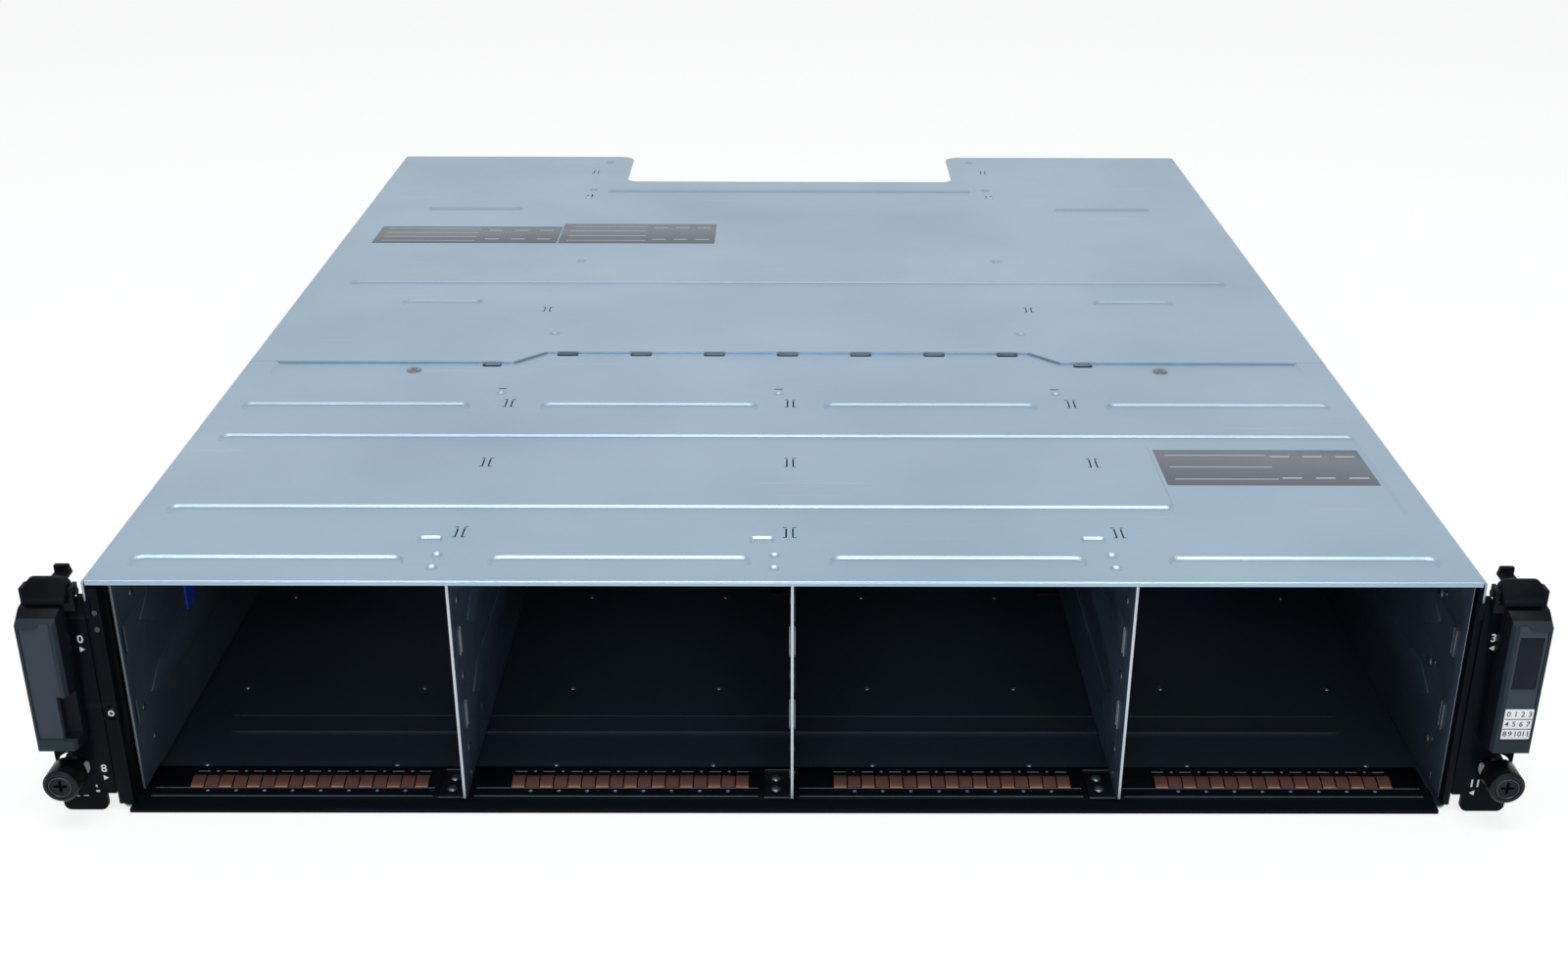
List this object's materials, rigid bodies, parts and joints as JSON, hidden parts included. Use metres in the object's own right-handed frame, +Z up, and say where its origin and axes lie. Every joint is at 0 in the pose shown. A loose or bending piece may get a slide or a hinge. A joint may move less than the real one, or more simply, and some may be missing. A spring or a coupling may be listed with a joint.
{
  "type": "disk shelf enclosure",
  "caption": "Two-unit rack chassis for disk drives with open front bays, spring finger strips, rack ears with latches and thumbscrews, and empty rear module bays.",
  "frame": {"origin": "centre of the base tray's underside, halfway between the cover's front edge and the rear edge", "axes": "+X to the right as seen from the open front, +Y from the front to the rear, +Z up"},
  "size_m": [0.4836, 0.5416, 0.0878],
  "materials": {
    "black_plastic": "fine texture",
    "black_screw": "satin black",
    "black_steel": "satin",
    "blue_tab": "film",
    "bright_steel": "satin",
    "circuit_board": "solder mask",
    "clear_lens": "polished",
    "connector_black": "moulded",
    "copper_spring": "satin",
    "galvanised_steel": "satin",
    "grey_cable": "ribbed flat cable",
    "grey_panel": "fine texture",
    "grey_switch": "moulded"
  },
  "bodies": {
    "chassis": {"base_tray": "black_steel", "cable_pull_tab": "blue_tab", "controller_connector_lower": "connector_black", "controller_connector_upper": "connector_black", "controller_shelf": "galvanised_steel", "divider_1": "galvanised_steel", "divider_2": "galvanised_steel", "divider_3": "galvanised_steel", "drive_connector_1_1": "connector_black", "drive_connector_1_2": "connector_black", "drive_connector_1_3": "connector_black", "drive_connector_1_4": "connector_black", "drive_connector_2_1": "connector_black", "drive_connector_2_2": "connector_black", "drive_connector_2_3": "connector_black", "drive_connector_2_4": "connector_black", "drive_connector_3_1": "connector_black", "drive_connector_3_2": "connector_black", "drive_connector_3_3": "connector_black", "drive_connector_3_4": "connector_black", "finger_strip_1": "copper_spring", "finger_strip_2": "copper_spring", "finger_strip_3": "copper_spring", "finger_strip_4": "copper_spring", "front_cover": "galvanised_steel", "front_panel_board": "circuit_board", "front_panel_cable": "grey_cable", "front_sill": "black_steel", "left_ear_bracket": "black_steel", "left_ear_housing": "black_plastic", "left_ear_panel": "grey_panel", "left_guide_plate": "galvanised_steel", "left_latch_pin": "bright_steel", "left_screw_clip": "black_steel", "left_side_trim": "black_plastic", "midplane_board": "circuit_board", "midplane_frame": "galvanised_steel", "power_connector_left": "connector_black", "power_connector_right": "connector_black", "rear_cover": "galvanised_steel", "rear_partition_left": "galvanised_steel", "rear_partition_right": "galvanised_steel", "right_ear_bracket": "black_steel", "right_ear_housing": "black_plastic", "right_ear_panel": "grey_panel", "right_guide_plate": "galvanised_steel", "right_latch_pin": "bright_steel", "right_screw_clip": "black_steel", "right_side_trim": "black_plastic", "status_lens_lower": "clear_lens", "status_lens_upper": "clear_lens"},
    "left_thumbscrew": {"left_thumbscrew": "black_screw"},
    "right_thumbscrew": {"right_thumbscrew": "black_screw"},
    "left_latch": {"left_latch_lever": "black_plastic"},
    "right_latch": {"right_latch_lever": "black_plastic"},
    "mode_switch": {"mode_switch": "grey_switch"}
  },
  "joints": [
    {"name": "left_thumbscrew_turn", "type": "hinge", "parent": "chassis", "child": "left_thumbscrew", "pos_m": [-0.236, -0.2619, 0.0174], "axis": [0, 1, 0], "continuous": true},
    {"name": "right_thumbscrew_turn", "type": "hinge", "parent": "chassis", "child": "right_thumbscrew", "pos_m": [0.236, -0.2619, 0.0174], "axis": [0, 1, 0], "continuous": true},
    {"name": "left_latch_lift", "type": "hinge", "parent": "chassis", "child": "left_latch", "pos_m": [-0.2334, -0.2639, 0.0828], "axis": [-1, 0, 0], "range_deg": [0, 25], "stiffness_Nm_per_rad": 0.02, "springref_deg": -20.05},
    {"name": "right_latch_lift", "type": "hinge", "parent": "chassis", "child": "right_latch", "pos_m": [0.2334, -0.2639, 0.0828], "axis": [-1, 0, 0], "range_deg": [0, 25], "stiffness_Nm_per_rad": 0.02, "springref_deg": -20.05},
    {"name": "mode_switch_slide", "type": "slide", "parent": "chassis", "child": "mode_switch", "axis": [0, 0, 1], "range_m": [-0.0015, 0.0015]}
  ]
}
